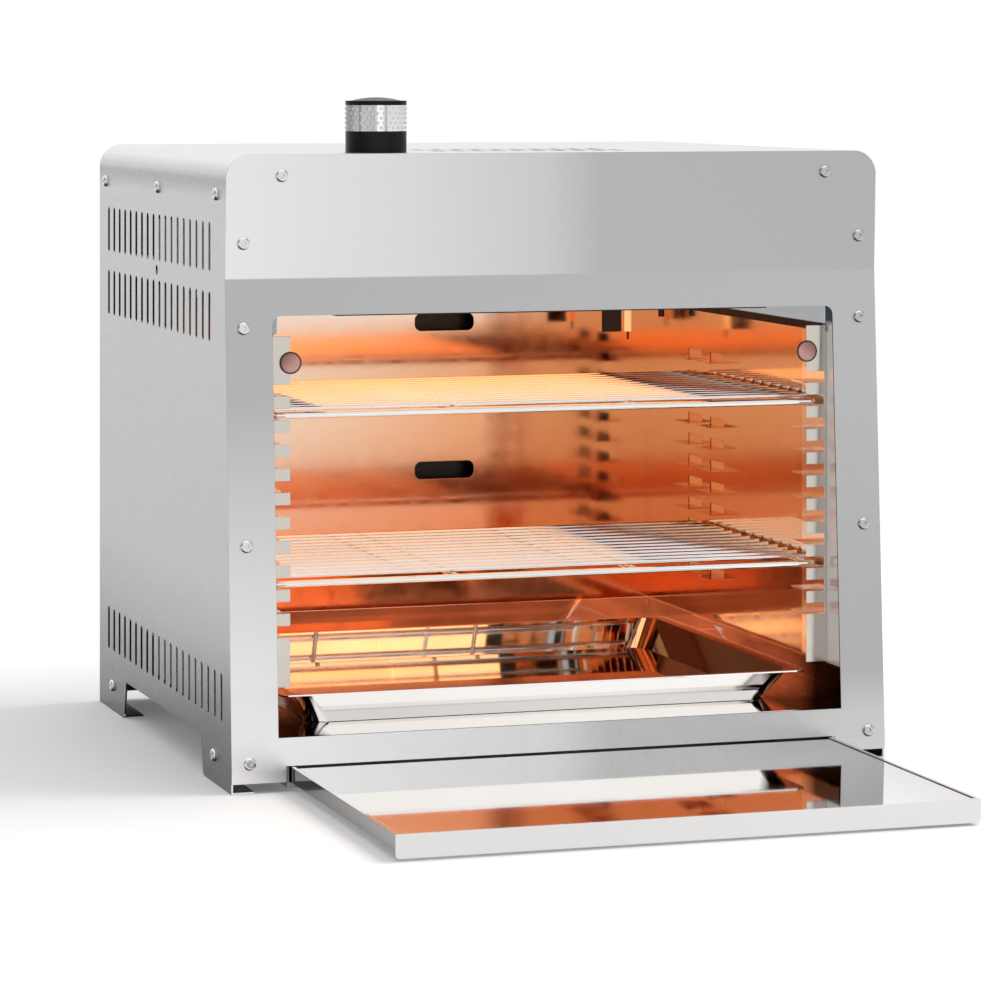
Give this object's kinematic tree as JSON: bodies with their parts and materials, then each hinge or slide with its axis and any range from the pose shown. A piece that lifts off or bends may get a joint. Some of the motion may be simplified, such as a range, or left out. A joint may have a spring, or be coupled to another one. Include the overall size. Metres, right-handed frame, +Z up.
{
  "type": "infrared gas grill",
  "caption": "Upright steel infrared gas grill with an open cooking cavity, overhead burner, sliding wire racks, food pan, pull-out drip drawer and a top control knob.",
  "frame": {"origin": "centre of the bounding box at the feet", "axes": "+X to the viewer's right when facing the opening, +Y to the back, +Z up"},
  "size_m": [0.4546, 0.664, 0.4432],
  "materials": {
    "brushed_steel": "brushed",
    "polished_steel": "polished",
    "deflector_steel": "satin",
    "shade_steel": "satin",
    "comb_steel": "satin",
    "tray_steel": "polished",
    "floor_steel": "polished",
    "galvanised_steel": "satin",
    "dark_steel": "matt",
    "wire_chrome": "polished",
    "ceramic": "matt",
    "black_plastic": "satin",
    "cap_metal": "satin",
    "knob_chrome": "polished",
    "brass": "satin",
    "aluminium": "satin",
    "gasket": "matt",
    "lead": "matt",
    "copper": "satin",
    "screw_steel": "satin"
  },
  "bodies": {
    "grill": {"casing_shell": "brushed_steel", "front_panel": "brushed_steel", "back_panel": "brushed_steel", "base_pan": "shade_steel", "cavity_floor": "floor_steel", "drawer_rail_left": "galvanised_steel", "drawer_rail_right": "galvanised_steel", "liner_left": "polished_steel", "liner_right": "polished_steel", "liner_back": "polished_steel", "ceiling_plate": "polished_steel", "deflector_left": "deflector_steel", "deflector_right": "deflector_steel", "rack_comb_left": "comb_steel", "rack_comb_right": "comb_steel", "burner_housing": "dark_steel", "ceramic_tiles": "ceramic", "burner_gasket": "gasket", "burner_frame": "dark_steel", "gas_diffuser": "galvanised_steel", "mixing_tube": "galvanised_steel", "burner_hanger_left": "shade_steel", "burner_hanger_right": "shade_steel", "heat_shield": "shade_steel", "valve_body": "aluminium", "valve_bonnet": "aluminium", "valve_spring": "screw_steel", "valve_bracket": "galvanised_steel", "inlet_fitting": "brass", "inlet_nut": "brass", "gas_pipe": "aluminium", "feed_pipe": "aluminium", "orifice": "brass", "magnet_unit": "brass", "piezo_igniter": "black_plastic", "spark_electrode": "ceramic", "electrode_pin": "dark_steel", "thermocouple_flag": "dark_steel", "thermocouple": "dark_steel", "igniter_lead": "lead", "thermocouple_lead": "copper", "front_screws": "screw_steel", "side_screws_left": "screw_steel", "side_screws_right": "screw_steel", "back_screws": "screw_steel", "valve_screws": "screw_steel"},
    "drawer": {"drawer_tray": "tray_steel"},
    "rack_top": {"upper_rack": "wire_chrome"},
    "rack_low": {"middle_rack": "wire_chrome"},
    "pan": {"food_pan": "tray_steel"},
    "knob_push": {"spring_seat": "screw_steel"},
    "knob": {"valve_stem": "screw_steel", "knob_skirt": "black_plastic", "knob_ring": "knob_chrome", "knob_cap": "cap_metal"},
    "plug": {"valve_plug": "brass"}
  },
  "joints": [
    {"name": "drawer_slide", "type": "slide", "parent": "grill", "child": "drawer", "axis": [0, 1, 0], "range_m": [-0.025, 0.2355]},
    {"name": "upper_rack_slide", "type": "slide", "parent": "grill", "child": "rack_top", "axis": [0, -1, 0], "range_m": [0, 0.16]},
    {"name": "middle_rack_slide", "type": "slide", "parent": "grill", "child": "rack_low", "axis": [0, -1, 0], "range_m": [0, 0.16]},
    {"name": "pan_slide", "type": "slide", "parent": "grill", "child": "pan", "axis": [0, -1, 0], "range_m": [0, 0.2]},
    {"name": "knob_press", "type": "slide", "parent": "grill", "child": "knob_push", "axis": [0, 0, -1], "range_m": [0, 0.003], "stiffness_N_per_m": 800, "springref_m": -0.002, "deforming": ["valve_spring"]},
    {"name": "knob_turn", "type": "hinge", "parent": "knob_push", "child": "knob", "pos_m": [-0.1145, -0.042, 0.43], "axis": [0, 0, 1], "range_deg": [0, 180]},
    {"name": "plug_turn", "type": "hinge", "parent": "grill", "child": "plug", "pos_m": [-0.1145, -0.042, 0.3725], "axis": [0, 0, 1], "range_deg": [0, 180]}
  ],
  "couplings": [
    {"joint": "plug_turn", "follows": "knob_turn", "ratio": 1}
  ]
}
